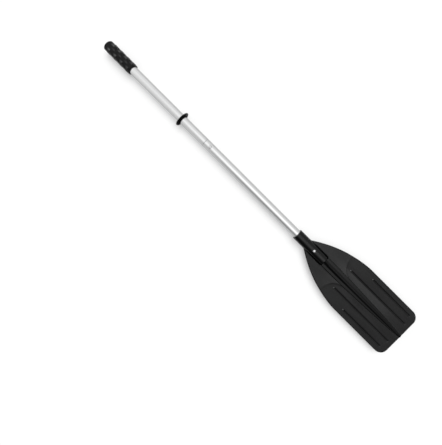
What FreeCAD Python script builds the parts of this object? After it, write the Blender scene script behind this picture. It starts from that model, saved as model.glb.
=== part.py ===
import FreeCAD, Part
import math
import os

# Two-piece rowing oar for a small inflatable or dinghy.
# All sizes in millimetres. The origin is on the shaft's axis at the middle of the
# oarlock seat, +X runs from the grip to the blade's tip, +Z is square to the blade's
# face and +Y lies across the blade. Stations below named D_ are distances along the
# shaft from a datum 2 mm beyond the grip's closed end, and sx() turns them into X.

# ---------------------------------------------------------------- driving sizes
D_SEAT = 405.0          # oarlock seat's middle
D_NUB = 1372.0          # end of the nub on the blade's tip; 1370 mm overall

TUBE_R = 14.3           # 1 1/8 in aluminium tube
TUBE_WALL = 1.2
TUBE_RI = TUBE_R - TUBE_WALL
D_UPPER_START = 8.0
D_SEAM = 458.0          # upper tube's end
SEAM_GAP = 0.8
D_LOWER_END = 1003.0
TUBE_CHAMFER = 0.5

D_GRIP_START = 2.0      # closed end
GRIP_LEN = 119.0        # station of its mouth
GRIP_R = 19.3
GRIP_BORE_R = 14.35
GRIP_END_WALL = 7.0
GRIP_END_ROUND = 3.0
GRIP_MOUTH_ROUND = 1.2

D_COLLAR = 347.3        # grip side of the collar's flange
COLLAR_FLANGE = 2.8
COLLAR_LEN = 7.6
COLLAR_R = 26.75
COLLAR_HUB_R = 17.5
COLLAR_BORE_R = 14.36

FERRULE_R = 13.05
FERRULE_WALL = 1.45
FERRULE_RI = FERRULE_R - FERRULE_WALL
D_FERRULE_START = 385.0
D_FERRULE_END = 530.0

BUTTON_R = 4.2
BUTTON_HOLE_R = 5.0
D_JOINT_BUTTON = 482.5
JOINT_BUTTON_TOP = 16.8
D_BLADE_BUTTON = 963.9
BLADE_BUTTON_TOP = 19.3

LEAF_T = 0.7            # spring leaf's thickness
LEAF_BEND_R = 4.0

SOCKET_R = 18.5
SOCKET_BORE_R = 14.38
D_SOCKET_MOUTH = 887.6
D_SOCKET_BORE_END = 1004.0
D_SOCKET_END = 1012.0
SOCKET_LIP_ROUND = 1.0

PLATE_T = 4.4           # blade plate's thickness
PLATE_EDGE_ROUND = 1.6
D_TIP = 1370.6          # tip edge, beside the nub
TIP_CORNER_R = 28.0
# half width of the blade's outline along its shoulders
SHOULDER = [(930.0, 14.8), (939.6, 20.9), (956.5, 31.3), (973.4, 40.7), (990.4, 49.6),
            (1007.3, 57.4), (1024.2, 64.3), (1045.0, 71.6), (1069.7, 78.2),
            (1090.0, 83.0), (1110.0, 86.5), (1131.0, 89.2), (1150.0, 90.2)]
# spar: station, half width, half height
SPAR = [(1000.0, 16.4, 7.6), (1120.0, 16.8, 6.4), (1260.0, 11.6, 4.8),
        (1340.0, 6.8, 3.7), (D_TIP, 4.2, 3.1)]
# ridge along the spar's crown: station, half width, half height
RIDGE = [(1004.5, 6.8, 15.4), (1030.0, 6.4, 12.0), (1120.0, 5.2, 8.6),
         (1260.0, 3.8, 6.2), (D_NUB, 1.8, 3.6)]
# grooves: station of each end, distance from the centre line
GROOVES = [(1100.0, 1353.0, 39.6), (1173.0, 1345.0, 70.2)]
GROOVE_R = 2.8
GROOVE_DEPTH = 1.0


def sx(d):
    return d - D_SEAT


V = FreeCAD.Vector
XDIR = V(1, 0, 0)
ZDIR = V(0, 0, 1)


def rod(d0, d1, r):
    """Cylinder along the shaft's axis between two stations."""
    return Part.makeCylinder(r, d1 - d0, V(sx(d0), 0, 0), XDIR)


def tube(d0, d1, r, ri):
    return rod(d0, d1, r).cut(rod(d0 - 1, d1 + 1, ri))


def post(d, z0, z1, r):
    """Cylinder standing on +Z at a station."""
    return Part.makeCylinder(r, z1 - z0, V(sx(d), 0, z0), ZDIR)


def turned(points):
    """Solid of revolution about the shaft's axis from (station, radius) points and
    three-point arcs written as ((d, r), (d, r)) pairs: middle and end."""
    edges, at = [], None
    for p in points:
        if isinstance(p[0], tuple):
            mid, end = p
            edges.append(Part.Arc(V(sx(at[0]), 0, at[1]), V(sx(mid[0]), 0, mid[1]),
                                  V(sx(end[0]), 0, end[1])).toShape())
            at = end
        else:
            if at is not None:
                edges.append(Part.makeLine(V(sx(at[0]), 0, at[1]), V(sx(p[0]), 0, p[1])))
            at = p
    first = points[0]
    if at != first:
        edges.append(Part.makeLine(V(sx(at[0]), 0, at[1]), V(sx(first[0]), 0, first[1])))
    face = Part.Face(Part.Wire(edges))
    return face.revolve(V(0, 0, 0), XDIR, 360)


def quarter(d, r, rad, side):
    """Arc that rounds an outer corner: side -1 at the grip side, +1 at the blade side."""
    c = math.cos(math.pi / 4)
    if side < 0:
        return ((d + rad - rad * c, r - rad + rad * c), (d + rad, r))
    return ((d - rad + rad * c, r - rad + rad * c), (d, r - rad))


# ------------------------------------------------------------------------ grip
def grip():
    r, e, m = GRIP_R, GRIP_END_ROUND, GRIP_MOUTH_ROUND
    return turned([
        (D_GRIP_START, 0.0), (D_GRIP_START, r - e), quarter(D_GRIP_START, r, e, -1),
        (GRIP_LEN - m, r), quarter(GRIP_LEN, r, m, 1),
        (GRIP_LEN, GRIP_BORE_R + 0.4), (GRIP_LEN - 0.4, GRIP_BORE_R),
        (GRIP_END_WALL, GRIP_BORE_R), (GRIP_END_WALL, 0.0), (D_GRIP_START, 0.0)])


# ----------------------------------------------------------------------- tubes
def shaft_tube(d0, d1, r, ri, chamfer0, chamfer1):
    a, b = chamfer0, chamfer1
    pts = [(d0, ri), (d0, r - a)]
    if a:
        pts.append((d0 + a, r))
    pts.append((d1 - b, r))
    if b:
        pts.append((d1, r - b))
    pts.append((d1, ri))
    return turned(pts)


def upper_shaft_tube():
    return shaft_tube(D_UPPER_START, D_SEAM, TUBE_R, TUBE_RI, TUBE_CHAMFER, TUBE_CHAMFER)


def lower_shaft_tube():
    t = shaft_tube(D_SEAM + SEAM_GAP, D_LOWER_END, TUBE_R, TUBE_RI,
                   TUBE_CHAMFER, TUBE_CHAMFER)
    t = t.cut(post(D_JOINT_BUTTON, 8, 20, BUTTON_HOLE_R))
    return t.cut(post(D_BLADE_BUTTON, 8, 20, BUTTON_HOLE_R))


def ferrule():
    f = shaft_tube(D_FERRULE_START, D_FERRULE_END, FERRULE_R, FERRULE_RI, 0.4, 0.7)
    return f.cut(post(D_JOINT_BUTTON, 8, 20, BUTTON_HOLE_R))


def bung(d0, length, r):
    """Moulded cup plug with two sealing ribs, its closed end at the grip side."""
    body, cup = r - 0.5, r - 2.2
    b = turned([
        (d0, 0.0), (d0, body - 1.0), (d0 + 1.0, body), (d0 + 3.0, body),
        (d0 + 3.4, r), (d0 + 4.8, r), (d0 + 5.2, body), (d0 + length - 5.2, body),
        (d0 + length - 4.8, r), (d0 + length - 3.4, r), (d0 + length - 3.0, body),
        (d0 + length, body), (d0 + length, cup), (d0 + 3.0, cup), (d0 + 3.0, 0.0),
        (d0, 0.0)])
    return b


# ---------------------------------------------------------------------- collar
def stop_collar():
    d, r, hub = D_COLLAR, COLLAR_R, COLLAR_HUB_R
    f, n = COLLAR_FLANGE, COLLAR_LEN
    e = 1.1
    return turned([
        (d + 0.5, COLLAR_BORE_R), (d, COLLAR_BORE_R + 0.5), (d, r - e),
        quarter(d, r, e, -1), (d + f - e, r), quarter(d + f, r, e, 1),
        (d + f, hub), (d + n - 0.9, hub), quarter(d + n, hub, 0.9, 1),
        (d + n, COLLAR_BORE_R + 0.5), (d + n - 0.5, COLLAR_BORE_R),
        (d + 0.5, COLLAR_BORE_R)])


# ----------------------------------------------------------------- snap clips
def clip_spring(d_button, top, width, arm, tail):
    """V leaf spring: a bend at the grip side, and two arms that bear on the inside of
    the tube. The upper arm is drilled for the button's rivet."""
    h = LEAF_T / 2
    zc = top - h
    xb = sx(d_button) - arm          # centre of the bend
    x1 = sx(d_button) - tail - 2.5   # where the arms turn level
    x2 = sx(d_button) + tail
    R = LEAF_BEND_R

    def p(x, z):
        return V(x, -width / 2, z)

    out = [
        Part.makeLine(p(xb, R + h), p(x1, zc + h)),
        Part.makeLine(p(x1, zc + h), p(x2, zc + h)),
        Part.makeLine(p(x2, zc + h), p(x2, zc - h)),
        Part.makeLine(p(x2, zc - h), p(x1, zc - h)),
        Part.makeLine(p(x1, zc - h), p(xb, R - h)),
        Part.Arc(p(xb, R - h), p(xb - (R - h), 0), p(xb, -(R - h))).toShape(),
        Part.makeLine(p(xb, -(R - h)), p(x1, -(zc - h))),
        Part.makeLine(p(x1, -(zc - h)), p(x2, -(zc - h))),
        Part.makeLine(p(x2, -(zc - h)), p(x2, -(zc + h))),
        Part.makeLine(p(x2, -(zc + h)), p(x1, -(zc + h))),
        Part.makeLine(p(x1, -(zc + h)), p(xb, -(R + h))),
        Part.Arc(p(xb, -(R + h)), p(xb - (R + h), 0), p(xb, R + h)).toShape(),
    ]
    leaf = Part.Face(Part.Wire(out)).extrude(V(0, width, 0))
    return leaf.cut(post(d_button, 0, 20, 1.7))


def snap_button(d, seat, top):
    """Domed button with a riveted shank. seat is the leaf's upper surface."""
    dome = 1.3
    rise = top - dome
    cap_r = (BUTTON_R ** 2 + dome ** 2) / (2 * dome)
    body = post(d, seat + 0.02, rise, BUTTON_R)
    ball = Part.makeSphere(cap_r, V(sx(d), 0, top - cap_r))
    cap = ball.common(post(d, rise - 0.001, top + 1, BUTTON_R))
    shank = post(d, seat - LEAF_T - 0.9, seat + 1.0, 1.6)
    head = post(d, seat - LEAF_T - 1.0, seat - LEAF_T - 0.05, 2.7)
    return body.fuse([cap, shank, head]).removeSplitter()


JOINT_LEAF_TOP, JOINT_LEAF_W = 10.75, 8.0
BLADE_LEAF_TOP, BLADE_LEAF_W = 12.0, 9.5


# ----------------------------------------------------------------------- blade
def outline():
    up = [V(sx(d), y, 0) for d, y in SHOULDER]
    low = [V(sx(d), -y, 0) for d, y in SHOULDER]
    a, b = Part.BSplineCurve(), Part.BSplineCurve()
    a.interpolate(Points=up, FinalTangent=V(1, 0.01, 0), InitialTangent=V(1, 0.7, 0))
    b.interpolate(Points=low, FinalTangent=V(1, -0.01, 0), InitialTangent=V(1, -0.7, 0))
    w, t, c = SHOULDER[-1][1], sx(D_TIP), TIP_CORNER_R
    k = c * (1 - math.cos(math.pi / 4))
    return Part.Wire([
        a.toShape(),
        Part.makeLine(up[-1], V(t - c, w, 0)),
        Part.Arc(V(t - c, w, 0), V(t - k, w - k, 0), V(t, w - c, 0)).toShape(),
        Part.makeLine(V(t, w - c, 0), V(t, -(w - c), 0)),
        Part.Arc(V(t, -(w - c), 0), V(t - k, -(w - k), 0), V(t - c, -w, 0)).toShape(),
        Part.makeLine(V(t - c, -w, 0), low[-1]),
        b.toShape(),
        Part.makeLine(low[0], up[0]),
    ])


def lofted(stations):
    wires = []
    for d, w, h in stations:
        x = sx(d)
        wires.append(Part.makePolygon([V(x, -w, -h), V(x, w, -h), V(x, w, h),
                                       V(x, -w, h), V(x, -w, -h)]))
    return Part.makeLoft(wires, True, True)


def groove(d0, d1, y, side):
    """Round-ended channel cut into one face."""
    surface = side * PLATE_T / 2
    floor = surface - side * GROOVE_DEPTH
    z0, z1 = min(floor, floor + side * 6), max(floor, floor + side * 6)
    r = GROOVE_R
    a = post(d0 + r, z0, z1, r)
    b = post(d1 - r, z0, z1, r)
    box = Part.makeBox(d1 - d0 - 2 * r, 2 * r, z1 - z0, V(sx(d0 + r), -r, z0))
    g = a.fuse([b, box]).removeSplitter()
    g.translate(V(0, y, 0))
    return g


def blade():
    plate = Part.Face(outline()).extrude(V(0, 0, PLATE_T))
    plate.translate(V(0, 0, -PLATE_T / 2))
    rims = [e for e in plate.Edges
            if abs(abs(e.CenterOfMass.z) - PLATE_T / 2) < 1e-6
            and e.CenterOfMass.x > sx(SHOULDER[0][0]) + 1]
    plate = plate.makeFillet(PLATE_EDGE_ROUND, rims)
    for d0, d1, y in GROOVES:
        for sy in (1, -1):
            for sz in (1, -1):
                plate = plate.cut(groove(d0, d1, sy * y, sz))
    e = SOCKET_LIP_ROUND
    socket = turned([
        (D_SOCKET_MOUTH, 0.0), (D_SOCKET_MOUTH, SOCKET_R - e),
        quarter(D_SOCKET_MOUTH, SOCKET_R, e, -1), (D_SOCKET_END - e, SOCKET_R),
        quarter(D_SOCKET_END, SOCKET_R, e, 1), (D_SOCKET_END, 0.0),
        (D_SOCKET_MOUTH, 0.0)])
    b = socket.fuse([plate, lofted(SPAR), lofted(RIDGE)])
    b = b.cut(rod(D_SOCKET_MOUTH - 5, D_SOCKET_BORE_END, SOCKET_BORE_R))
    b = b.cut(post(D_BLADE_BUTTON, 8, 25, BUTTON_HOLE_R))
    return b


# ------------------------------------------------------------------- the pieces
PIECES = {
    "grip": grip,
    "upper_shaft_tube": upper_shaft_tube,
    "shaft_ferrule": ferrule,
    "ferrule_bung": lambda: bung(D_FERRULE_START + 3, 16.0, FERRULE_RI - 0.05),
    "joint_button": lambda: snap_button(D_JOINT_BUTTON, JOINT_LEAF_TOP, JOINT_BUTTON_TOP),
    "joint_clip_spring": lambda: clip_spring(D_JOINT_BUTTON, JOINT_LEAF_TOP, JOINT_LEAF_W, 42.0, 7.0),
    "stop_collar": stop_collar,
    "lower_shaft_tube": lower_shaft_tube,
    "lower_tube_upper_bung": lambda: bung(548.0, 18.0, TUBE_RI - 0.05),
    "lower_tube_lower_bung": lambda: bung(886.0, 18.0, TUBE_RI - 0.05),
    "blade_button": lambda: snap_button(D_BLADE_BUTTON, BLADE_LEAF_TOP, BLADE_BUTTON_TOP),
    "blade_clip_spring": lambda: clip_spring(D_BLADE_BUTTON, BLADE_LEAF_TOP, BLADE_LEAF_W, 44.0, 7.0),
    "blade": blade,
}

os.makedirs("parts", exist_ok=True)
for name, make in PIECES.items():
    shape = make()
    solids = shape.Solids
    if len(solids) != 1 or not shape.isValid():
        raise RuntimeError("%s: %d solids, valid %s" % (name, len(solids), shape.isValid()))
    solid = solids[0]
    if solid.Volume < 0:
        solid.reverse()
    solid.exportStep("parts/%s.step" % name)
    b = solid.BoundBox
    print("%-24s %10.1f mm3  x %8.2f %8.2f  y %7.2f %7.2f  z %7.2f %7.2f" % (
        name, solid.Volume, b.XMin, b.XMax, b.YMin, b.YMax, b.ZMin, b.ZMax))
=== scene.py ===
import math
import bpy
import numpy as np
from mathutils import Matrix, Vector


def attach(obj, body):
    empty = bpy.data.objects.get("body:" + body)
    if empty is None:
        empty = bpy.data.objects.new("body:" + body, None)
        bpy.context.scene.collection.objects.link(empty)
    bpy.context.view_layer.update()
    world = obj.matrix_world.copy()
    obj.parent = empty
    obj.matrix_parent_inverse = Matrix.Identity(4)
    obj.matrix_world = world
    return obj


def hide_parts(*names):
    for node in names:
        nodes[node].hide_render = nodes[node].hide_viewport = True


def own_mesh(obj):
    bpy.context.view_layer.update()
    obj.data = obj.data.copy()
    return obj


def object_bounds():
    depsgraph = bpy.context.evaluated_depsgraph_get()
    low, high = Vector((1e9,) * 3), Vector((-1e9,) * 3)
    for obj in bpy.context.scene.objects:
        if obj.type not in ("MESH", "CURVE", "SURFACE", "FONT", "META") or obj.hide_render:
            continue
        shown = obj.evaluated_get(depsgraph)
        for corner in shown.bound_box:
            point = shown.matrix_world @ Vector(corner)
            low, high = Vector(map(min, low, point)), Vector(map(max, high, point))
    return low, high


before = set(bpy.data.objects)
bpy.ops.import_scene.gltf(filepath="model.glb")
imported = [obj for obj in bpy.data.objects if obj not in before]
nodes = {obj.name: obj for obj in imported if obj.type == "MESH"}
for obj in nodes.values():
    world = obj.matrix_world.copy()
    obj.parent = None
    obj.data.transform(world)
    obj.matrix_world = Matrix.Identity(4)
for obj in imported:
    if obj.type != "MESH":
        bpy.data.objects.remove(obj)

CAD_LO, CAD_HI = [list(c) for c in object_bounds()]

# ------------------------------------------------------------------ sizes (mm)
D_SEAT = 405.0            # grip end to the frame's origin
TUBE_R, TUBE_RI = 14.3, 13.1
D_UPPER_START, D_SEAM, D_LOWER_START, D_LOWER_END = 8.0, 458.0, 458.8, 1003.0
FERRULE_R, FERRULE_RI, D_FERRULE0, D_FERRULE1 = 13.05, 11.6, 385.0, 530.0
D_JOINT_BUTTON, D_BLADE_BUTTON, BUTTON_R, HOLE_R = 482.5, 963.9, 4.2, 5.0
D_GRIP_START, GRIP_LEN, GRIP_BORE_R, GRIP_END_WALL = 2.0, 119.0, 14.35, 7.0
SOCKET_R, SOCKET_BORE_R = 18.5, 14.38
D_MOUTH, D_BORE_END, D_SOCKET_END = 887.6, 1004.0, 1012.0
D_TIP, NUB, HALF_WIDTH, CORNER_R = 1370.6, 1.4, 90.2, 28.0


def X(d):
    return d - D_SEAT


# ------------------------------------------------------------- small mesh tools
def mesh_object(name, verts, faces, sharp=38.0, merge=1e-7):
    """A mesh object from points in mm and faces, welded, with outward faces."""
    me = bpy.data.meshes.new(name)
    me.from_pydata([tuple(float(c) * 0.001 for c in v) for v in verts], [],
                   [tuple(int(i) for i in f) for f in faces])
    import bmesh
    bm = bmesh.new()
    bm.from_mesh(me)
    bmesh.ops.remove_doubles(bm, verts=bm.verts, dist=merge)
    bmesh.ops.dissolve_degenerate(bm, edges=bm.edges, dist=merge)
    loose = [v for v in bm.verts if not v.link_faces]
    bmesh.ops.delete(bm, geom=loose, context="VERTS")
    bmesh.ops.recalc_face_normals(bm, faces=bm.faces)
    if bm.calc_volume(signed=True) < 0:
        bmesh.ops.reverse_faces(bm, faces=bm.faces)
    bm.to_mesh(me)
    bm.free()
    ob = bpy.data.objects.new(name, me)
    bpy.context.scene.collection.objects.link(ob)
    shade(ob, sharp)
    return ob


def shade(ob, sharp=38.0):
    me = ob.data
    me.polygons.foreach_set("use_smooth", [True] * len(me.polygons))
    me.set_sharp_from_angle(angle=math.radians(sharp))
    me.update()


def rounded(points, radii, steps=5):
    """Closed profile with its corners rounded: (d, r) points and one radius each."""
    out, n = [], len(points)
    for i in range(n):
        p = np.array(points[i], float)
        a = np.array(points[i - 1], float) - p
        b = np.array(points[(i + 1) % n], float) - p
        rad = radii[i]
        if rad <= 0:
            out.append(tuple(p))
            continue
        la, lb = np.linalg.norm(a), np.linalg.norm(b)
        a, b = a / la, b / lb
        ang = math.acos(max(-1, min(1, float(a @ b))))
        cut = min(rad / math.tan(ang / 2), la * 0.49, lb * 0.49)
        rr = cut * math.tan(ang / 2)
        centre = p + (a + b) / np.linalg.norm(a + b) * (rr / math.sin(ang / 2))
        s, e = p + a * cut - centre, p + b * cut - centre
        t0, t1 = math.atan2(s[1], s[0]), math.atan2(e[1], e[0])
        d = (t1 - t0 + math.pi) % (2 * math.pi) - math.pi
        for k in range(steps + 1):
            t = t0 + d * k / steps
            out.append((centre[0] + rr * math.cos(t), centre[1] + rr * math.sin(t)))
    return out


def lathe(name, profile, segs=128, sharp=38.0, swell=None, refine=None):
    """Turns a closed (station, radius) profile about the shaft's axis. swell(d, phi)
    adds to the radius of outer points."""
    verts, faces, rows = [], [], []
    for d, r in profile:
        if r < 1e-6:
            rows.append([len(verts)])
            verts.append((X(d), 0, 0))
            continue
        row = []
        for k in range(segs):
            t = 2 * math.pi * k / segs
            rr = r + (swell(d, t, r) if swell else 0.0)
            row.append(len(verts))
            verts.append((X(d), rr * math.sin(t), rr * math.cos(t)))
        rows.append(row)
    m = len(rows)
    for i in range(m):
        a, b = rows[i], rows[(i + 1) % m]
        if len(a) == 1 and len(b) == 1:
            continue
        for k in range(segs):
            k2 = (k + 1) % segs
            if len(a) == 1:
                faces.append((a[0], b[k], b[k2]))
            elif len(b) == 1:
                faces.append((a[k], b[0], a[k2]))
            else:
                faces.append((a[k], b[k], b[k2], a[k2]))
    return mesh_object(name, verts, faces, sharp)


def drill(ob, d, r, z0, z1, sharp=38.0, lead=0.35):
    """Cuts a round hole that opens on +Z."""
    for rad, a, b in ((r, z0, z1),):
        n, verts, faces = 48, [], []
        for z in (a, b):
            for k in range(n):
                t = 2 * math.pi * (k + 0.5) / n
                verts.append((X(d) + rad * math.cos(t), rad * math.sin(t), z))
        faces.append(tuple(range(n))[::-1])
        faces.append(tuple(range(n, 2 * n)))
        for k in range(n):
            k2 = (k + 1) % n
            faces.append((k, k2, n + k2, n + k))
        cutter = mesh_object(ob.name + "_cut", verts, faces)
        mod = ob.modifiers.new("hole", "BOOLEAN")
        mod.operation, mod.solver, mod.object = "DIFFERENCE", "EXACT", cutter
        bpy.context.view_layer.update()
        done = bpy.data.meshes.new_from_object(
            ob.evaluated_get(bpy.context.evaluated_depsgraph_get()))
        ob.modifiers.clear()
        old = ob.data
        ob.data = done
        bpy.data.meshes.remove(old)
        bpy.data.objects.remove(cutter)
    shade(ob, sharp)


def smooth(a, b, x):
    t = np.clip((np.asarray(x, float) - a) / (b - a), 0, 1)
    return t * t * (3 - 2 * t)


# ------------------------------------------------------------------- materials
def material(name):
    m = bpy.data.materials.new(name)
    m.use_nodes = True
    nt = m.node_tree
    return m, nt, nt.nodes["Principled BSDF"]


def add(nt, kind, **values):
    n = nt.nodes.new(kind)
    for k, v in values.items():
        if k in n.inputs.keys():
            n.inputs[k].default_value = v
        else:
            setattr(n, k, v)
    return n


def position(nt, scale):
    """Surface position in metres, scaled along each axis."""
    c = add(nt, "ShaderNodeTexCoord")
    m = add(nt, "ShaderNodeMapping")
    m.inputs["Scale"].default_value = scale
    nt.links.new(c.outputs["Object"], m.inputs["Vector"])
    return m.outputs["Vector"]


def noise(nt, vector, scale, detail=4.0, rough=0.55):
    n = add(nt, "ShaderNodeTexNoise")
    n.inputs["Scale"].default_value = scale
    n.inputs["Detail"].default_value = detail
    n.inputs["Roughness"].default_value = rough
    nt.links.new(vector, n.inputs["Vector"])
    return n.outputs["Fac"]


def spread(nt, value, lo, hi, from_lo=0.3, from_hi=0.7):
    n = add(nt, "ShaderNodeMapRange")
    n.inputs["From Min"].default_value = from_lo
    n.inputs["From Max"].default_value = from_hi
    n.inputs["To Min"].default_value = lo
    n.inputs["To Max"].default_value = hi
    nt.links.new(value, n.inputs["Value"])
    return n.outputs["Result"]


def blend_colour(nt, fac, a, b):
    n = add(nt, "ShaderNodeMix", data_type="RGBA")
    n.inputs[6].default_value = (*a, 1)
    n.inputs[7].default_value = (*b, 1)
    nt.links.new(fac, n.inputs[0])
    return n.outputs[2]


def bump(nt, bsdf, height, distance, strength=1.0, below=None):
    n = add(nt, "ShaderNodeBump")
    n.inputs["Strength"].default_value = strength
    n.inputs["Distance"].default_value = distance
    nt.links.new(height, n.inputs["Height"])
    if below is not None:
        nt.links.new(below, n.inputs["Normal"])
    nt.links.new(n.outputs["Normal"], bsdf.inputs["Normal"])
    return n.outputs["Normal"]


def drawn_aluminium(name, base, dark, rough_lo, rough_hi):
    m, nt, p = material(name)
    p.inputs["Metallic"].default_value = 1.0
    streak = noise(nt, position(nt, (3.0, 420.0, 420.0)), 1.0, 5.0, 0.6)
    cloud = noise(nt, position(nt, (9.0, 30.0, 30.0)), 1.0, 3.0)
    nt.links.new(blend_colour(nt, spread(nt, cloud, 0.0, 1.0), dark, base),
                 p.inputs["Base Color"])
    nt.links.new(spread(nt, streak, rough_lo, rough_hi), p.inputs["Roughness"])
    bump(nt, p, streak, 0.00001, 0.25)
    return m


def steel(name, base, rough_lo, rough_hi):
    m, nt, p = material(name)
    p.inputs["Metallic"].default_value = 1.0
    f = noise(nt, position(nt, (1.0, 1.0, 1.0)), 900.0, 3.0)
    nt.links.new(blend_colour(nt, spread(nt, f, 0.0, 1.0),
                              tuple(c * 0.93 for c in base), base), p.inputs["Base Color"])
    nt.links.new(spread(nt, f, rough_lo, rough_hi), p.inputs["Roughness"])
    bump(nt, p, f, 0.00001, 0.2)
    return m


def moulded(name, base, light, rough_lo, rough_hi, grain, depth, spec=0.5, broad=24.0):
    m, nt, p = material(name)
    p.inputs["Specular IOR Level"].default_value = spec
    pos = position(nt, (1.0, 1.0, 1.0))
    fine = noise(nt, pos, grain, 3.0, 0.6)
    cloud = noise(nt, pos, broad, 4.0)
    nt.links.new(blend_colour(nt, spread(nt, cloud, 0.0, 1.0), base, light),
                 p.inputs["Base Color"])
    nt.links.new(spread(nt, fine, rough_lo, rough_hi), p.inputs["Roughness"])
    bump(nt, p, fine, depth, 0.6)
    return m


def blade_material():
    """Black polypropylene: textured on the faces, smoother on the socket, the spar and the ridge,
    and a shade lighter on the neck's shoulders, with painted light making the shoulders paler on the
    +Y side. The zones are stored on the mesh: red is the smooth zone, green the shoulders, blue the
    small pips, whose pale colour is a painted highlight, and alpha the share of the sheen that is
    left in the grooves, on the rim and on the spar, which paints shade into the grooves and along
    the rim and sets a painted sheen on the spar."""
    m, nt, p = material("blade_plastic")
    zone = add(nt, "ShaderNodeAttribute", attribute_name="zone")
    sheen = add(nt, "ShaderNodeMath", operation="MULTIPLY")
    nt.links.new(zone.outputs["Alpha"], sheen.inputs[0])
    sheen.inputs[1].default_value = 0.42
    nt.links.new(sheen.outputs[0], p.inputs["Specular IOR Level"])
    sep = add(nt, "ShaderNodeSeparateColor")
    nt.links.new(zone.outputs["Color"], sep.inputs["Color"])
    pos = position(nt, (1.0, 1.0, 1.0))
    grain = noise(nt, pos, 1500.0, 3.0, 0.6)
    flow = noise(nt, position(nt, (6.0, 26.0, 26.0)), 1.0, 5.0)
    fleck = noise(nt, pos, 420.0, 4.0, 0.7)
    cloud = add(nt, "ShaderNodeMath", operation="ADD")
    for k, src in enumerate((flow, fleck)):
        half = add(nt, "ShaderNodeMath", operation="MULTIPLY")
        nt.links.new(src, half.inputs[0])
        half.inputs[1].default_value = (0.6, 0.4)[k]
        nt.links.new(half.outputs[0], cloud.inputs[k])
    flow = cloud.outputs[0]
    face = blend_colour(nt, spread(nt, flow, 0.0, 1.0, 0.36, 0.64), (0.0038, 0.0038, 0.0039),
                        (0.0078, 0.0078, 0.0079))
    neck = blend_colour(nt, spread(nt, flow, 0.0, 1.0, 0.36, 0.64), (0.0110, 0.0110, 0.0112),
                        (0.0172, 0.0172, 0.0174))
    gloss = (0.0032, 0.0032, 0.0033)
    a = add(nt, "ShaderNodeMix", data_type="RGBA")
    nt.links.new(sep.outputs["Green"], a.inputs[0])
    nt.links.new(face, a.inputs[6])
    nt.links.new(neck, a.inputs[7])
    b = add(nt, "ShaderNodeMix", data_type="RGBA")
    nt.links.new(sep.outputs["Red"], b.inputs[0])
    nt.links.new(a.outputs[2], b.inputs[6])
    b.inputs[7].default_value = (*gloss, 1)
    # painted highlight: the pips take a pale colour in place of the glint on their domes
    c = add(nt, "ShaderNodeMix", data_type="RGBA")
    nt.links.new(sep.outputs["Blue"], c.inputs[0])
    nt.links.new(b.outputs[2], c.inputs[6])
    c.inputs[7].default_value = (0.055, 0.055, 0.056, 1)
    nt.links.new(c.outputs[2], p.inputs["Base Color"])
    rough_face = spread(nt, grain, 0.38, 0.50)
    rough_gloss = spread(nt, flow, 0.17, 0.22)
    r = add(nt, "ShaderNodeMix", data_type="FLOAT")
    nt.links.new(sep.outputs["Red"], r.inputs[0])
    nt.links.new(rough_face, r.inputs[2])
    nt.links.new(rough_gloss, r.inputs[3])
    nt.links.new(r.outputs[0], p.inputs["Roughness"])
    h = add(nt, "ShaderNodeMath", operation="MULTIPLY")
    inv = add(nt, "ShaderNodeMath", operation="SUBTRACT")
    inv.inputs[0].default_value = 1.01
    nt.links.new(sep.outputs["Red"], inv.inputs[1])
    nt.links.new(grain, h.inputs[0])
    nt.links.new(inv.outputs[0], h.inputs[1])
    bump(nt, p, h.outputs[0], 0.00006, 0.5)
    return m


# ------------------------------------------------------------------------ grip
PADS = [(23.0, 0.5), (36.0, 0.0), (50.8, 0.5), (64.0, 0.0), (79.8, 0.5), (92.5, 0.0),
        (106.0, 0.5)]
GRIP_BASE_R = 18.35
GRIP_TURN = math.radians(6.5)


def pads(d, t, r):
    """Soft raised pads: rings of six, each ring turned half a step from the next."""
    if r < GRIP_BASE_R - 0.01:
        return 0.0
    best = 0.0
    for ring, (c, phase) in enumerate(PADS):
        if abs(d - c) > 9.0:
            continue
        step = math.pi / 3
        u = ((t - GRIP_TURN) / step - phase) % 1.0
        u = min(u, 1 - u) * step * GRIP_BASE_R
        q = math.sqrt(((d - c) / 8.8) ** 2 + (u / 7.6) ** 2)
        if q < 1:
            k = min(1.0, (1 - q) / 0.52)
            best = max(best, 0.80 * k * k * (3 - 2 * k) + 0.12 * (1 - q * q))
    return best


def painted_pad_highlight(d, t):
    """Painted highlight on the pads, as a mask that raises the grip's reflectivity: brightest at
    each pad's blade-side end.
    """
    best = 0.0
    for c, phase in PADS:
        if abs(d - c) > 14.0:
            continue
        step = math.pi / 3
        u = ((t - GRIP_TURN) / step - phase) % 1.0
        u = min(u, 1 - u) * step * GRIP_BASE_R
        a = d - (c + 2.6)
        q = math.hypot(a / (3.4 if a > 0 else 7.5), u / 2.6)
        best = max(best, math.exp(-1.6 * q * q) * ((1.06 - c / 170.0) if phase else 0.22))
    return best


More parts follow.
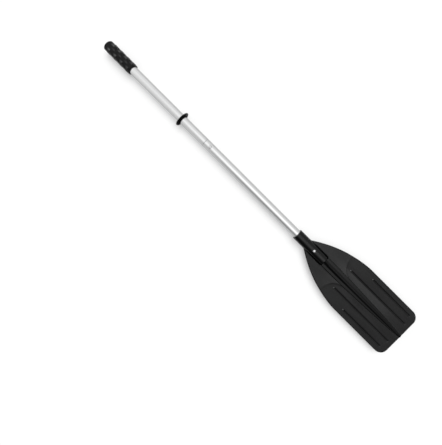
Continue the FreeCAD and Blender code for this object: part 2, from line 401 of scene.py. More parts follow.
def make_grip():
    r = GRIP_BASE_R
    prof = []
    n_end = 10
    e, g = 2.8, D_GRIP_START
    prof.append((g, 0.0))
    for rr in (2.5, 5.0, 7.5, 10.0, 12.5, 14.5):
        prof.append((g + 0.12 * (rr / (r - e)) ** 2, rr))
    for k in range(n_end + 1):
        t = math.pi / 2 * k / n_end
        prof.append((g + 0.12 + (e - 0.12) * (1 - math.cos(t)), r - e + e * math.sin(t)))
    d = g + e
    while d < GRIP_LEN - 1.9:
        d += 0.7
        prof.append((min(d, GRIP_LEN - 1.5), r))
    m = 1.3
    for k in range(1, 7):
        t = math.pi / 2 * k / 6
        prof.append((GRIP_LEN - m + m * math.sin(t), r - m + m * math.cos(t)))
    prof += [(GRIP_LEN, GRIP_BORE_R + 0.5), (GRIP_LEN - 0.5, GRIP_BORE_R),
             (60.0, GRIP_BORE_R), (GRIP_END_WALL, GRIP_BORE_R), (GRIP_END_WALL, 0.0)]
    ob = lathe("grip_moulding", prof, 180, 42.0, pads)
    me = ob.data
    # painted highlight: the pad mask is stored as the zone colour and read by the grip's material
    col = me.color_attributes.new("zone", "FLOAT_COLOR", "POINT")
    for v, c in zip(me.vertices, col.data):
        d, y, z = v.co.x * 1000.0 + D_SEAT, v.co.y * 1000.0, v.co.z * 1000.0
        k = painted_pad_highlight(d, math.atan2(y, z)) if math.hypot(y, z) > GRIP_BASE_R - 0.2 else 0.0
        c.color = (k, k, k, 1.0)
    return ob


# ----------------------------------------------------------------------- tubes
def make_tube(name, d0, d1, r, ri, seg=144):
    pts = [(d0, ri), (d0, r), (d1, r), (d1, ri)]
    prof = rounded(pts, [0.15, 0.7, 0.7, 0.15], 5)
    # stations along the outside and the bore, so that long faces stay even
    full = []
    for i, p in enumerate(prof):
        full.append(p)
        q = prof[(i + 1) % len(prof)]
        span = abs(q[0] - p[0])
        if span > 60:
            n = int(span // 30)
            shares = [0.15 / span, 0.6 / span, 2.0 / span]
            shares += [k / n for k in range(1, n)]
            shares += [1 - 2.0 / span, 1 - 0.6 / span, 1 - 0.15 / span]
            for k in shares:
                full.append((p[0] + (q[0] - p[0]) * k, p[1] + (q[1] - p[1]) * k))
    return lathe(name, full, seg, 30.0)


def make_collar():
    d, r, hub, b = 347.3, 26.72, 17.5, 14.36
    pts = [(d, b), (d, r), (d + 2.8, r), (d + 2.8, hub), (d + 7.6, hub), (d + 7.6, b)]
    prof = rounded(pts, [0.5, 1.2, 1.2, 0.8, 1.1, 0.6], 6)
    return lathe("collar_ring", prof, 160, 40.0)


# --------------------------------------------------------------------- buttons
def make_button(name, d, seat, top, hub_t=0.7):
    dome = 1.5
    r = BUTTON_R - 0.02
    R = (r * r + dome * dome) / (2 * dome)
    prof = [(seat - hub_t - 1.0, 0.0)]
    prof += [(seat - hub_t - 1.0, 2.2), (seat - hub_t - 0.8, 2.6), (seat - hub_t - 0.25, 2.7),
             (seat - hub_t - 0.05, 2.6), (seat - hub_t - 0.05, 1.6), (seat + 0.02, 1.6),
             (seat + 0.02, r - 0.2), (seat + 0.2, r), (top - dome - 0.35, r)]
    z0 = top - dome
    prof.append((z0 - 0.1, r - 0.03))
    a0 = math.asin((r - 0.2) / R)
    for k in range(12):
        a = a0 * (1 - k / 12)
        prof.append((top - R + R * math.cos(a), R * math.sin(a)))
    prof.append((top, 0.0))
    segs, verts, faces, rows = 64, [], [], []
    for z, rr in prof:
        if rr < 1e-6:
            rows.append([len(verts)])
            verts.append((X(d), 0, z))
        else:
            rows.append(list(range(len(verts), len(verts) + segs)))
            for k in range(segs):
                t = 2 * math.pi * k / segs
                verts.append((X(d) + rr * math.cos(t), rr * math.sin(t), z))
    for a, b in zip(rows, rows[1:]):
        for k in range(segs):
            k2 = (k + 1) % segs
            if len(a) == 1:
                faces.append((a[0], b[k], b[k2]))
            elif len(b) == 1:
                faces.append((a[k], b[0], a[k2]))
            else:
                faces.append((a[k], b[k], b[k2], a[k2]))
    return mesh_object(name, verts, faces, 40.0)


# --------------------------------------------------------------------- springs
def make_spring(name, d_button, top, width, arm, tail):
    """V leaf: a bent strip with rounded corners and a drilled upper arm."""
    h, R = 0.35, 4.0
    zc = top - h
    xb, x1, x2 = d_button - arm, d_button - tail - 2.5, d_button + tail
    path = []
    for k in range(9):
        t = k / 8
        path.append((x2 + (x1 + 2.0 - x2) * t, zc))
    slope = (zc - R) / (x1 - xb)
    for k in range(5):
        t = k / 4
        a = t * t * 0.5
        path.append((x1 + 2.0 - 4.0 * t, zc - slope * 4.0 * a))
    for k in range(1, 13):
        t = k / 12
        x = (x1 - 2.0) + (xb - (x1 - 2.0)) * t
        path.append((x, R + slope * (x - xb)))
    for k in range(1, 13):
        t = math.pi * k / 12
        path.append((xb - R * math.sin(t), R * math.cos(t)))
    for x, z in reversed([p for p in path[:26]]):
        path.append((x, -z))
    path = np.array(path)
    keep = [0]
    for i in range(1, len(path)):
        if np.hypot(*(path[i] - path[keep[-1]])) > 0.05:
            keep.append(i)
    path = path[keep]
    n = len(path)
    tang = np.gradient(path, axis=0)
    tang /= np.linalg.norm(tang, axis=1)[:, None]
    nor = np.c_[tang[:, 1], -tang[:, 0]]
    arc = np.r_[0, np.cumsum(np.hypot(*np.diff(path, axis=0).T))]
    verts, faces = [], []
    ys = np.array([-1, -0.94, -0.5, 0, 0.5, 0.94, 1.0])
    for i in range(n):
        end = min(arc[i], arc[-1] - arc[i])
        w = width / 2
        if end < w * 0.55:
            w = w - (w * 0.55) + math.sqrt(max(0.0, (w * 0.55) ** 2 - (w * 0.55 - end) ** 2)) \
                if end > 0 else w * 0.45
        for s in (1, -1):
            for y in ys:
                inset = 0.12 if abs(y) == 1 else 0.0
                p = path[i] + nor[i] * s * (h - inset)
                verts.append((X(p[0]), y * w, p[1]))
    m = len(ys)
    for i in range(n - 1):
        a, b = i * 2 * m, (i + 1) * 2 * m
        for k in range(m - 1):
            faces.append((a + k, a + k + 1, b + k + 1, b + k))
            faces.append((a + m + k, b + m + k, b + m + k + 1, a + m + k + 1))
        faces.append((a, b, b + m, a + m))
        faces.append((a + m - 1, a + 2 * m - 1, b + 2 * m - 1, b + m - 1))
    for a in (0, (n - 1) * 2 * m):
        for k in range(m - 1):
            faces.append((a + k, a + m + k, a + m + k + 1, a + k + 1))
    ob = mesh_object(name, verts, faces, 40.0)
    drill(ob, d_button, 1.7, 2.0, 20.0, 40.0)
    return ob


# ----------------------------------------------------------------------- blade
SHOULDER = [(935.8, 18.5), (939.6, 20.9), (956.5, 31.3), (973.4, 40.7), (990.4, 49.6),
            (1007.3, 57.4), (1024.2, 64.3), (1045.0, 71.6), (1069.7, 78.2),
            (1090.0, 83.0), (1110.0, 86.5), (1131.0, 89.2), (1150.0, 90.2)]


def cubic(xs, ys, slope0, slope1):
    """Clamped cubic spline through points, as a function."""
    xs, ys = np.array(xs, float), np.array(ys, float)
    n = len(xs)
    h = np.diff(xs)
    A, b = np.zeros((n, n)), np.zeros(n)
    A[0, 0], A[0, 1] = 2 * h[0], h[0]
    b[0] = 6 * ((ys[1] - ys[0]) / h[0] - slope0)
    A[-1, -1], A[-1, -2] = 2 * h[-1], h[-1]
    b[-1] = 6 * (slope1 - (ys[-1] - ys[-2]) / h[-1])
    for i in range(1, n - 1):
        A[i, i - 1], A[i, i], A[i, i + 1] = h[i - 1], 2 * (h[i - 1] + h[i]), h[i]
        b[i] = 6 * ((ys[i + 1] - ys[i]) / h[i] - (ys[i] - ys[i - 1]) / h[i - 1])
    m = np.linalg.solve(A, b)

    def f(x):
        i = int(np.clip(np.searchsorted(xs, x) - 1, 0, n - 2))
        t0, t1, hh = xs[i + 1] - x, x - xs[i], h[i]
        return float((m[i] * t0 ** 3 + m[i + 1] * t1 ** 3) / (6 * hh)
                     + (ys[i] / hh - m[i] * hh / 6) * t0
                     + (ys[i + 1] / hh - m[i + 1] * hh / 6) * t1)
    return f


SIDE = cubic([p[0] for p in SHOULDER], [p[1] for p in SHOULDER], 0.63, 0.0)
SPAR_W = cubic([1012, 1120, 1198, 1260, 1311, 1345, 1370.6],
               [17.6, 16.9, 14.2, 11.6, 8.9, 6.5, 4.2], 0.0, -0.09)
SPAR_H = cubic([1012, 1120, 1260, 1370.6], [7.6, 6.4, 4.7, 2.7], -0.012, -0.02)
RIDGE_W = cubic([1012, 1060, 1120, 1260, 1370.6], [8.0, 7.5, 6.6, 5.0, 2.5], -0.01, -0.02)
RIDGE_H = cubic([1004, 1030, 1060, 1120, 1260, 1370.6],
                [15.6, 12.6, 10.9, 8.8, 6.3, 3.4], -0.15, -0.02)
GROOVES = [(1101.0, 1353.0, 39.6), (1174.5, 1345.0, 70.2)]
PIPS = [(1098.4, 39.6), (1171.4, 70.2)]


def half_width(d):
    if d <= SHOULDER[0][0]:
        return SOCKET_R
    if d < SHOULDER[-1][0]:
        return max(SOCKET_R, SIDE(d))
    if d <= D_TIP - CORNER_R:
        return HALF_WIDTH
    t = min(d, D_TIP) - (D_TIP - CORNER_R)
    return HALF_WIDTH - CORNER_R + math.sqrt(max(0.0, CORNER_R ** 2 - t * t))


def spar_half(d):
    return SOCKET_R if d <= D_SOCKET_END else SPAR_W(d)


def ridge_half(d):
    return 8.0 if d <= D_SOCKET_END else RIDGE_W(d)


def crease(y):
    """Station of the crease where the neck's shoulders meet the blade's face."""
    y = np.maximum(np.abs(y), 14.0)
    return 1056.0 + 900.0 / y


def line_set():
    """Lateral lines from the centre out: (kind, share) pairs. Kind 0 runs from the
    centre to the ridge's foot, 1 to the spar's edge, 2 across the face by width in
    mm, 3 out to the outline."""
    out = [(0, k / 9) for k in range(9)]
    out += [(1, k / 20) for k in range(20)]
    marks = [17.25, 17.55, 17.9, 18.3, 18.8, 19.4, 20.4, 22.0, 24.0, 27.0, 30.0, 33.0, 35.2, 36.2,
             36.8, 37.4, 38.0, 38.6, 39.1, 39.6, 40.1, 40.6, 41.2, 41.8, 42.4, 43.0, 44.0,
             47.0, 50.0, 53.0, 56.0, 59.0, 62.0, 64.5, 66.0, 66.8, 67.4, 68.0, 68.6, 69.2,
             69.7, 70.2, 70.7, 71.2, 71.8, 72.4, 73.0, 73.6, 74.6, 76.5, 78.5]
    out += [(2, m) for m in marks]
    out += [(3, s) for s in (0.0, 0.25, 0.45, 0.62, 0.74, 0.82, 0.88, 0.93, 0.965, 0.985,
                             0.996, 1.0)]
    return out


LINES = line_set()


def lateral(d):
    """Distances of every line from the centre at a station."""
    w, s, r = half_width(d), spar_half(d), ridge_half(d)
    ref = SIDE(1090.0)
    share = min(1.0, max(0.0, (w - SOCKET_R) / (ref - SOCKET_R)))
    tip = float(smooth(D_TIP - CORNER_R - 6, D_TIP, d))
    inner_end = 80.0 * (1 - tip) + 62.0 * tip
    out = []
    a5 = math.asin(8.0 / SOCKET_R)
    for kind, v in LINES:
        if kind == 0:
            out.append(v * r)
        elif kind == 1:
            y = (math.sin(a5 + (math.pi / 2 - a5) * v) * SOCKET_R - 8.0) / (SOCKET_R - 8.0)
            out.append(r + (s - r) * y)
        elif kind == 2:
            # the face's lines keep their place once the blade is wide enough
            far = 80.0
            y = s + (v - 17.0) / (far - 17.0) * (inner_end - s)  # shares of the face's width
            blend_keep = smooth(18.0, 34.0, v)
            keep = v if tip == 0 else v * (1 - tip) + y * tip
            y = y * (1 - blend_keep) + keep * blend_keep
            out.append(s + (y - s) * share if share < 1 else y)
        else:
            y0 = s + (inner_end - s) * share if share < 1 else inner_end
            out.append(y0 + (w - y0) * v)
    out = np.array(out)
    return np.maximum.accumulate(np.minimum(out, w))


def top_height(d, y):
    """Height of the blade's upper surface over its middle plane, at one station."""
    w, s = half_width(d), spar_half(d)
    if d <= D_SOCKET_END:
        R = SOCKET_R
        if d > D_SOCKET_END - 1.0:
            q = d - (D_SOCKET_END - 1.0)
            R = SOCKET_R - 1.0 + math.sqrt(max(0.0, 1.0 - q * q))
        round_part = np.sqrt(np.maximum(0.0, R * R - y * y))
    else:
        round_part = np.zeros_like(y)
    if d < SHOULDER[0][0]:
        return round_part
    # plate: thicker at the neck and beside the spar, thin towards the outline
    neck = 1 - smooth(940, 1075, d)
    across = np.clip((y - s) / max(1.0, w - s), 0, 1)
    plate = 2.05 - 0.35 * across + 0.9 * neck * (1 - across)
    # shoulders stand a little proud of the face, with a soft crease between them
    gone = d - crease(y)
    past = smooth(-0.8, 0.8, gone)
    before = np.exp(np.minimum(0.0, gone) / 20.0)
    after = np.exp(-np.maximum(0.0, gone) / 6.5)
    rise = (0.35 + 1.05 * np.clip(1 - (y - s) / 62.0, 0.25, 1)) * before * after
    # the strip beside the spar slopes away from it
    lean = np.clip((37.0 - y) / (37.0 - s), 0, 1)
    strip = lean ** 1.15 * 2.5 * smooth(1045, 1105, d) \
        * (1 - 0.80 * smooth(1170, 1366, d))
    plate = plate + rise + strip
    # narrow channel around the socket's buried end
    if d < D_SOCKET_END + 4.0:
        q = np.abs(y - (SOCKET_R + 0.25))
        end = 1 - smooth(D_SOCKET_END + 1.0, D_SOCKET_END + 3.2, d)
        plate = plate - 2.2 * (1 - smooth(0.35, 1.35, q)) * smooth(952, 966, d) * end
    # grooves and the small pips at their starts
    for d0, d1, g in GROOVES:
        q = np.hypot(np.maximum(0.0, np.maximum(d0 + 3.0 - d, d - (d1 - 3.0))), y - g)
        plate = plate - 1.35 * (1 - smooth(0.9, 3.7, q))
    for dp, g in PIPS:
        q = np.hypot(d - dp, y - g)
        plate = plate + 1.7 * np.sqrt(np.maximum(0.0, 1 - (q / 2.3) ** 2))
    if d > D_SOCKET_END:
        sh, rw, rh = SPAR_H(d), ridge_half(d), RIDGE_H(d)
        edge = np.clip((s - y) / 1.3, 0, 1)
        crown = sh - 0.5 * np.clip(y / max(s, 1e-3), 0, 1) ** 2
        step = np.sqrt(np.maximum(0.0, 1 - (1 - edge) ** 2))
        spar = plate + (crown - plate) * step
        spar = np.where(y < s, np.maximum(spar, plate), plate)
        t = np.clip(1 - y / rw, 0, 1)
        # dark gap behind the socket's end face, open on both sides of the ridge
        gap = 1 - smooth(D_SOCKET_END + 1.5, D_SOCKET_END + 3.0, d)
        spar = spar - (spar - 1.6) * gap * (y < SOCKET_R)
        crown = crown - (crown - 1.6) * gap
        fin = crown + (rh - crown) * (0.62 * np.sin(math.pi / 2 * t) + 0.38 * t)
        plate = np.where(y < rw, np.maximum(fin, spar), spar)
    # rounded outline
    t0 = D_TIP - CORNER_R
    slope = (half_width(min(d + 0.5, D_TIP)) - half_width(d - 0.5)) if d < t0 else 0.0
    dist = (w - y) / math.sqrt(1 + slope * slope)
    if d > t0:
        c = HALF_WIDTH - CORNER_R
        corner = CORNER_R - np.hypot(d - t0, np.maximum(0.0, y - c))
        dist = np.where(y > c, corner, D_TIP - d)
    e = np.clip(dist / 2.6, 0, 1)
    rim = np.sqrt(np.maximum(0.0, 1 - (1 - e) ** 2))
    body = plate * rim
    if d < D_SOCKET_END + 0.01:
        grow = smooth(SHOULDER[0][0], 946.0, d)
        body = body * grow
        return np.where(y <= SOCKET_R, np.maximum(round_part, body * (y > 0)), body)
    return body


def make_blade():
    marks = [D_MOUTH + 1.0]
    d = D_MOUTH + 1.0

    def run(to, step):
        nonlocal d
        n = max(1, int(round((to - d) / step)))
        base = d
        for k in range(1, n + 1):
            marks.append(base + (to - base) * k / n)
        d = to

    run(SHOULDER[0][0], 3.5)
    run(1010.8, 1.3)
    run(1011.2, 0.4)
    run(D_SOCKET_END - 0.02, 0.2)
    run(D_SOCKET_END + 0.3, 0.32)
    run(D_SOCKET_END + 4.0, 0.4)
    run(1062.0, 1.3)
    run(1095.0, 0.9)
    run(1106.0, 0.4)
    run(1167.0, 2.0)
    run(1179.0, 0.4)
    run(1339.0, 2.4)
    run(D_TIP - CORNER_R, 0.9)
    for k in range(1, 25):
        marks.append(D_TIP - CORNER_R + CORNER_R * math.sin(math.pi / 2 * k / 24))
    n = len(LINES)
    verts, zone, top_rows, low_rows = [], [], [], []

    def nub(d_, y):
        """The ridge's end stands a little beyond the tip's edge."""
        return NUB * math.exp(-(y / 2.3) ** 2) * float(smooth(D_TIP - 14, D_TIP, d_))

    for d_ in marks:
        y = lateral(d_)
        z = top_height(d_, y)
        if d_ >= D_TIP - 1e-6:
            z = np.zeros_like(z)
        s = spar_half(d_)
        gloss = (y <= s + 0.05).astype(float)
        # painted highlight: the pips' mask, which the material paints pale
        pip = np.zeros_like(y)
        for dp, g in PIPS:
            pip = np.maximum(pip, 1 - smooth(1.2, 2.6, np.hypot(d_ - dp, y - g)))
        gone = d_ - crease(y)
        neck = (1 - smooth(-0.6, 0.6, gone)) * (0.34 + 0.66 * np.exp(np.minimum(0.0, gone) / 40.0)) \
            * (0.22 + 0.78 * np.clip(1 - (y - s) / 46.0, 0, 1)) * (1 - gloss)
        w = half_width(d_)
        # the strip beside the spar is a little paler too, less so towards the tip
        strip = smooth(0.0, 6.0, gone) * (1 - smooth(34.0, 38.0, y)) * (1 - gloss) \
            * (1 - smooth(1215, 1330, d_))
        neck = np.maximum(neck, 0.72 * strip)
        # painted shade: the sheen is cut along the outline, so the rim reads as a dark line
        edge = 1 - smooth(0.6, 3.4, w - y) if d_ > 950 else 0.0 * y
        if d_ > D_TIP - CORNER_R:
            out_d = np.where(y > HALF_WIDTH - CORNER_R,
                             CORNER_R - np.hypot(d_ - (D_TIP - CORNER_R),
                                                 np.maximum(0.0, y - (HALF_WIDTH - CORNER_R))),
                             D_TIP - d_)
            edge = np.maximum(edge, 1 - smooth(0.6, 3.4, out_d))
        sheen = 1.0 - 0.55 * edge
        # painted shade: the sheen is cut in the grooves, less towards the tip, so they read darker
        for d0, d1, g in GROOVES:
            q = np.hypot(np.maximum(0.0, np.maximum(d0 + 3.0 - d_, d_ - (d1 - 3.0))), y - g)
            fade = 0.30 - 0.16 * float(smooth(1180, 1330, d_))
            sheen = np.minimum(sheen, 1.0 - fade * (1 - smooth(0.8, 3.0, q)))
        if d_ > D_SOCKET_END:
            # painted light: the spar's sheen is held lower and rises towards the tip and on the
            # ridge, to set how bright they read
            painted_sheen = 0.79 + 0.17 * float(smooth(1170, 1340, d_))
            sheen = np.where(y <= s + 0.05, np.minimum(sheen, painted_sheen), sheen)
            sheen = np.where(y <= ridge_half(d_), painted_sheen + 0.10, sheen)
        rows = []
        for sign in (1, -1):
            row = [None] * (2 * n - 1)
            for j in range(n):
                for side in ((1, -1) if j else (1,)):
                    k = n - 1 + side * j
                    row[k] = len(verts)
                    verts.append((X(d_ + nub(d_, y[j])), side * y[j], sign * z[j]))
                    # painted light: the shoulders' pale tone is stronger on the +Y side, where the
                    # key falls, and weaker on the -Y side
                    tone = neck[j] * (0.80 + 0.20 * side * min(1.0, y[j] / 20.0))
                    zone.append((gloss[j], tone, pip[j], sheen[j]))
            rows.append(row)
        top_rows.append(rows[0])
        low_rows.append(rows[1])
    faces = []
    for rows, flip in ((top_rows, False), (low_rows, True)):
        for a, b in zip(rows, rows[1:]):
            for k in range(len(a) - 1):
                f = (a[k], b[k], b[k + 1], a[k + 1])
                faces.append(f[::-1] if flip else f)
    # mouth, bore and bore's end: rings that follow the first station's points
    first = top_rows[0] + low_rows[0][::-1]
    pts = [verts[i] for i in first]
    ring_prev = first
    rings = []
    lip = 1.0
    for k in range(1, 7):
        t = math.pi / 2 * k / 6
        rings.append((D_MOUTH + lip * (1 - math.sin(t)), SOCKET_R - lip * (1 - math.cos(t))))
    rings += [(D_MOUTH, SOCKET_BORE_R + 0.5), (D_MOUTH + 0.25, SOCKET_BORE_R + 0.12),
              (D_MOUTH + 0.6, SOCKET_BORE_R)]
    for k in range(1, 13):
        rings.append((D_MOUTH + 0.6 + (D_BORE_END - D_MOUTH - 0.6) * k / 12, SOCKET_BORE_R))
    m = len(first)
    for d_, r in rings:
        ring = []
        for p in pts:
            h = math.hypot(p[1], p[2])
            ring.append(len(verts))
            verts.append((X(d_), p[1] / h * r, p[2] / h * r))
            zone.append((1.0, 0.0, 0.0, 1.0))
        for k in range(m):
            k2 = (k + 1) % m
            faces.append((ring_prev[k], ring_prev[k2], ring[k2], ring[k]))
        ring_prev = ring
    hub = len(verts)
    verts.append((X(D_BORE_END), 0, 0))
    zone.append((1.0, 0.0, 0.0, 1.0))
    for k in range(m):
        faces.append((ring_prev[k], ring_prev[(k + 1) % m], hub))

    me = bpy.data.meshes.new("blade_moulding")
    me.from_pydata([tuple(float(c) * 0.001 for c in v) for v in verts], [], faces)
    col = me.color_attributes.new("zone", "FLOAT_COLOR", "POINT")
    col.data.foreach_set("color", np.array(zone, np.float32).ravel())
    import bmesh
    bm = bmesh.new()
    bm.from_mesh(me)
    bmesh.ops.remove_doubles(bm, verts=bm.verts, dist=2e-6)
    bmesh.ops.dissolve_degenerate(bm, edges=bm.edges, dist=2e-6)
    loose = [v for v in bm.verts if not v.link_faces]
    bmesh.ops.delete(bm, geom=loose, context="VERTS")
    bmesh.ops.recalc_face_normals(bm, faces=bm.faces)
    if bm.calc_volume(signed=True) < 0:
        bmesh.ops.reverse_faces(bm, faces=bm.faces)
    open_edges = sum(1 for e_ in bm.edges if len(e_.link_faces) != 2)
    print("blade mesh", len(bm.verts), "points, edges not shared by two faces:", open_edges,
          "volume cm3", round(bm.calc_volume() * 1e6, 1))
    bm.to_mesh(me)
    bm.free()
    ob = bpy.data.objects.new("blade_moulding", me)
    bpy.context.scene.collection.objects.link(ob)
    shade(ob, 33.0)
    drill(ob, D_BLADE_BUTTON, HOLE_R, 10.0, 25.0, 33.0)
    return ob


tube_mat = drawn_aluminium("anodised_tube", (0.875, 0.878, 0.88), (0.85, 0.853, 0.856), 0.21, 0.26)
ferrule_mat = drawn_aluminium("ferrule_aluminium", (0.40, 0.405, 0.41), (0.34, 0.345, 0.35),
                              0.30, 0.42)
steel_mat = steel("button_steel", (0.93, 0.93, 0.935), 0.12, 0.20)
spring_mat = steel("spring_steel", (0.56, 0.57, 0.59), 0.22, 0.36)
grip_mat = moulded("grip_plastic", (0.0026, 0.0026, 0.0027), (0.0036, 0.0036, 0.0037),
                   0.22, 0.30, 1400.0, 0.00002, 0.34)
gt = grip_mat.node_tree
# painted highlight: the pad mask raises the IOR, so the pads glint
painted_sheen = add(gt, "ShaderNodeAttribute", attribute_name="zone")
gt.links.new(spread(gt, painted_sheen.outputs["Fac"], 1.5, 3.1, 0.0, 1.0),
             gt.nodes["Principled BSDF"].inputs["IOR"])
collar_mat = moulded("collar_rubber", (0.0035, 0.0035, 0.0036), (0.0055, 0.0055, 0.0056),
                     0.42, 0.56, 1800.0, 0.00004, 0.4)
bung_mat = moulded("bung_plastic", (0.03, 0.03, 0.031), (0.04, 0.04, 0.041),
                   0.45, 0.6, 1600.0, 0.00004, 0.4)
blade_mat = blade_material()


def put(ob, mat, body, node):
    ob.data.materials.clear()
    ob.data.materials.append(mat)
    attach(ob, body)
    if node:
        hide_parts(node)
    return ob


put(make_grip(), grip_mat, "upper_section", "grip")
put(make_tube("upper_tube_drawn", D_UPPER_START, D_SEAM, TUBE_R, TUBE_RI), tube_mat,
    "upper_section", "upper_shaft_tube")

lower = make_tube("lower_tube_drawn", D_LOWER_START, D_LOWER_END, TUBE_R, TUBE_RI)
drill(lower, D_JOINT_BUTTON, HOLE_R, 8.0, 20.0, 30.0)
drill(lower, D_BLADE_BUTTON, HOLE_R, 8.0, 20.0, 30.0)
put(lower, tube_mat, "lower_section", "lower_shaft_tube")

ferrule = make_tube("ferrule_sleeve", D_FERRULE0, D_FERRULE1, FERRULE_R, FERRULE_RI)
drill(ferrule, D_JOINT_BUTTON, HOLE_R, 8.0, 20.0, 30.0)
put(ferrule, ferrule_mat, "upper_section", "shaft_ferrule")

put(make_collar(), collar_mat, "collar", "stop_collar")

put(make_button("joint_snap_button", D_JOINT_BUTTON, 10.75, 16.8), steel_mat,
    "joint_snap", "joint_button")
put(make_button("blade_snap_button", D_BLADE_BUTTON, 12.0, 19.3), steel_mat,
    "blade_snap", "blade_button")

s1 = make_spring("joint_leaf_spring", D_JOINT_BUTTON, 10.75, 8.0, 42.0, 7.0)
put(s1, spring_mat, "upper_section", "joint_clip_spring")
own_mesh(s1)
s2 = make_spring("blade_leaf_spring", D_BLADE_BUTTON, 12.0, 9.5, 44.0, 7.0)
put(s2, spring_mat, "lower_section", "blade_clip_spring")
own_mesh(s2)

put(make_blade(), blade_mat, "blade", "blade")

for name in ("ferrule_bung", "lower_tube_upper_bung", "lower_tube_lower_bung"):
    ob = nodes[name]
    ob.data.materials.clear()
    ob.data.materials.append(bung_mat)

# ------------------------------------------------------------------ the studio
FLOOR_Z = CAD_LO[2] - 0.0002


def floor(name, z, colour_a, colour_b, glow):
    me = bpy.data.meshes.new(name)
    s = 8.0
    me.from_pydata([(-s, -s, z), (s, -s, z), (s, s, z), (-s, s, z)], [], [(0, 1, 2, 3)])
    ob = bpy.data.objects.new(name, me)
    bpy.context.scene.collection.objects.link(ob)
    m, nt, p = material(name)
    f = noise(nt, position(nt, (1, 1, 1)), 3.0, 2.0)
    nt.links.new(blend_colour(nt, spread(nt, f, 0, 1), colour_a, colour_b),
                 p.inputs["Base Color"])
    p.inputs["Roughness"].default_value = 0.95
    p.inputs["Specular IOR Level"].default_value = 0.0
    p.inputs["Emission Color"].default_value = (1, 1, 1, 1)
    p.inputs["Emission Strength"].default_value = glow
    me.materials.append(m)
    return ob


# the lit white table, and the greyer table that the glossy surfaces reflect
table = floor("studio_floor", FLOOR_Z, (0.375,) * 3, (0.385,) * 3, 0.365)
table.visible_glossy = False
table.visible_diffuse = False
table.visible_shadow = False
under = floor("studio_floor_reflected", FLOOR_Z - 0.0006, (0.33,) * 3, (0.35,) * 3, 0.0)
under.visible_camera = False
under.visible_shadow = False

# soft key from the oar's +Y side; it throws the short shadow to the -Y side
sun = bpy.data.lights.new("key_light", "SUN")
sun.angle = math.radians(46.0)
sun.energy = 3.35
key = bpy.data.objects.new("key_light", sun)
bpy.context.scene.collection.objects.link(key)
key.location = (0.3, 0.8, 2.2)
key.rotation_euler = (-math.radians(23.0), 0.0, 0.0)
key.visible_glossy = False

# the room: brightest overhead, darker low on the -Y side
world = bpy.data.worlds.new("studio")
bpy.context.scene.world = world
world.use_nodes = True
wt = world.node_tree
bg = wt.nodes["Background"]
co = wt.nodes.new("ShaderNodeTexCoord")
sep = wt.nodes.new("ShaderNodeSeparateXYZ")
wt.links.new(co.outputs["Generated"], sep.inputs[0])
ang = add(wt, "ShaderNodeMath", operation="ARCTAN2")
wt.links.new(sep.outputs["Y"], ang.inputs[0])
wt.links.new(sep.outputs["Z"], ang.inputs[1])
share = wt.nodes.new("ShaderNodeMapRange")
share.inputs["From Min"].default_value = -math.radians(120)
share.inputs["From Max"].default_value = math.radians(120)
wt.links.new(ang.outputs[0], share.inputs["Value"])


def sky(points):
    """Brightness against the angle from straight up, towards +Y, in degrees."""
    ramp = wt.nodes.new("ShaderNodeValToRGB")
    ramp.color_ramp.interpolation = "EASE"
    el = ramp.color_ramp.elements
    while len(el) < len(points):
        el.new(0.5)
    for e, (deg, v) in zip(el, points):
        e.position = (deg + 120.0) / 240.0
        e.color = (v, v, v, 1)
    wt.links.new(share.outputs["Result"], ramp.inputs[0])
    return ramp.outputs[0]


SKY_A = [(-110, 0.60), (-88, 0.66), (-55, 0.78), (-27, 0.86), (0, 0.90), (27, 0.87),
         (55, 0.78), (88, 0.66), (110, 0.60)]
SKY_B = [(-110, 0.30), (-80, 0.28), (-52, 0.28), (-36, 0.44), (-21, 0.92), (-4, 1.36),
         (13, 1.36), (29, 1.02), (50, 0.76), (80, 0.66), (110, 0.62)]
side = wt.nodes.new("ShaderNodeMapRange")
side.interpolation_type = "SMOOTHSTEP"
side.inputs["From Min"].default_value, side.inputs["From Max"].default_value = -0.46, 0.06
wt.links.new(sep.outputs["X"], side.inputs["Value"])
mix = add(wt, "ShaderNodeMix", data_type="RGBA")
wt.links.new(side.outputs["Result"], mix.inputs[0])
wt.links.new(sky(SKY_A), mix.inputs[6])
wt.links.new(sky(SKY_B), mix.inputs[7])
far = wt.nodes.new("ShaderNodeMapRange")
far.interpolation_type = "SMOOTHSTEP"
far.inputs["From Min"].default_value, far.inputs["From Max"].default_value = 0.34, 0.64
far.inputs["To Min"].default_value, far.inputs["To Max"].default_value = 1.0, 0.40
wt.links.new(sep.outputs["X"], far.inputs["Value"])
fade = wt.nodes.new("ShaderNodeVectorMath")
fade.operation = "SCALE"
wt.links.new(mix.outputs[2], fade.inputs[0])
wt.links.new(far.outputs["Result"], fade.inputs["Scale"])
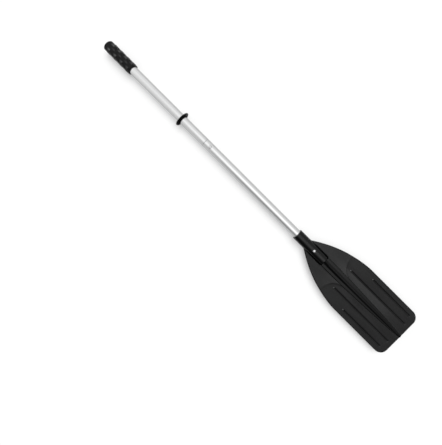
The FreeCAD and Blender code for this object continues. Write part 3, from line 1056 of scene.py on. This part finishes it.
# both ends of the room are even, and so is the backdrop that is seen directly
ends = add(wt, "ShaderNodeMath", operation="ABSOLUTE")
wt.links.new(sep.outputs["X"], ends.inputs[0])
even = wt.nodes.new("ShaderNodeMapRange")
even.interpolation_type = "SMOOTHSTEP"
even.inputs["From Min"].default_value, even.inputs["From Max"].default_value = 0.80, 0.95
wt.links.new(ends.outputs[0], even.inputs["Value"])
seen = wt.nodes.new("ShaderNodeLightPath")
top = add(wt, "ShaderNodeMix", data_type="RGBA")
wt.links.new(even.outputs["Result"], top.inputs[0])
wt.links.new(fade.outputs["Vector"], top.inputs[6])
top.inputs[7].default_value = (0.78, 0.78, 0.78, 1)
drop = add(wt, "ShaderNodeMix", data_type="RGBA")
wt.links.new(seen.outputs["Is Camera Ray"], drop.inputs[0])
wt.links.new(top.outputs[2], drop.inputs[6])
drop.inputs[7].default_value = (0.88, 0.88, 0.88, 1)
wt.links.new(drop.outputs[2], bg.inputs["Color"])
bg.inputs["Strength"].default_value = 1.0

# ------------------------------------------------------------------ the camera
PX = 3.32e-3               # metres on the shaft's plane for one picture element
HEIGHT = 304 * PX
cam_data = bpy.data.cameras.new("camera")
cam = bpy.data.objects.new("camera", cam_data)
bpy.context.scene.collection.objects.link(cam)
cam_data.sensor_width = 36.0
cam_data.lens = 36.0 * 304 / 445
cam.location = (X(684.0) / 1000.0, 0.0, HEIGHT)
cam.rotation_euler = (0.0, 0.0, math.radians(44.97))
cam_data.shift_x = -(253.7 - 221.0) / 445
cam_data.shift_y = (190.6 - 222.5) / 445
cam_data.clip_start, cam_data.clip_end = 0.02, 50.0
bpy.context.scene.camera = cam

view = bpy.context.scene.view_settings
view.view_transform = "Standard"
view.look = "None"
# a little more contrast in the deepest tones, as a studio photograph has
view.use_curve_mapping = True
tone = view.curve_mapping
tone.extend = "EXTRAPOLATED"
curve = tone.curves[3]
for x, y in ((0.010, 0.0018), (0.018, 0.0055), (0.026, 0.0120), (0.035, 0.0215),
             (0.046, 0.036), (0.06, 0.053), (0.09, 0.09)):
    curve.points.new(x, y)
for p in curve.points:
    p.handle_type = "VECTOR"
tone.update()
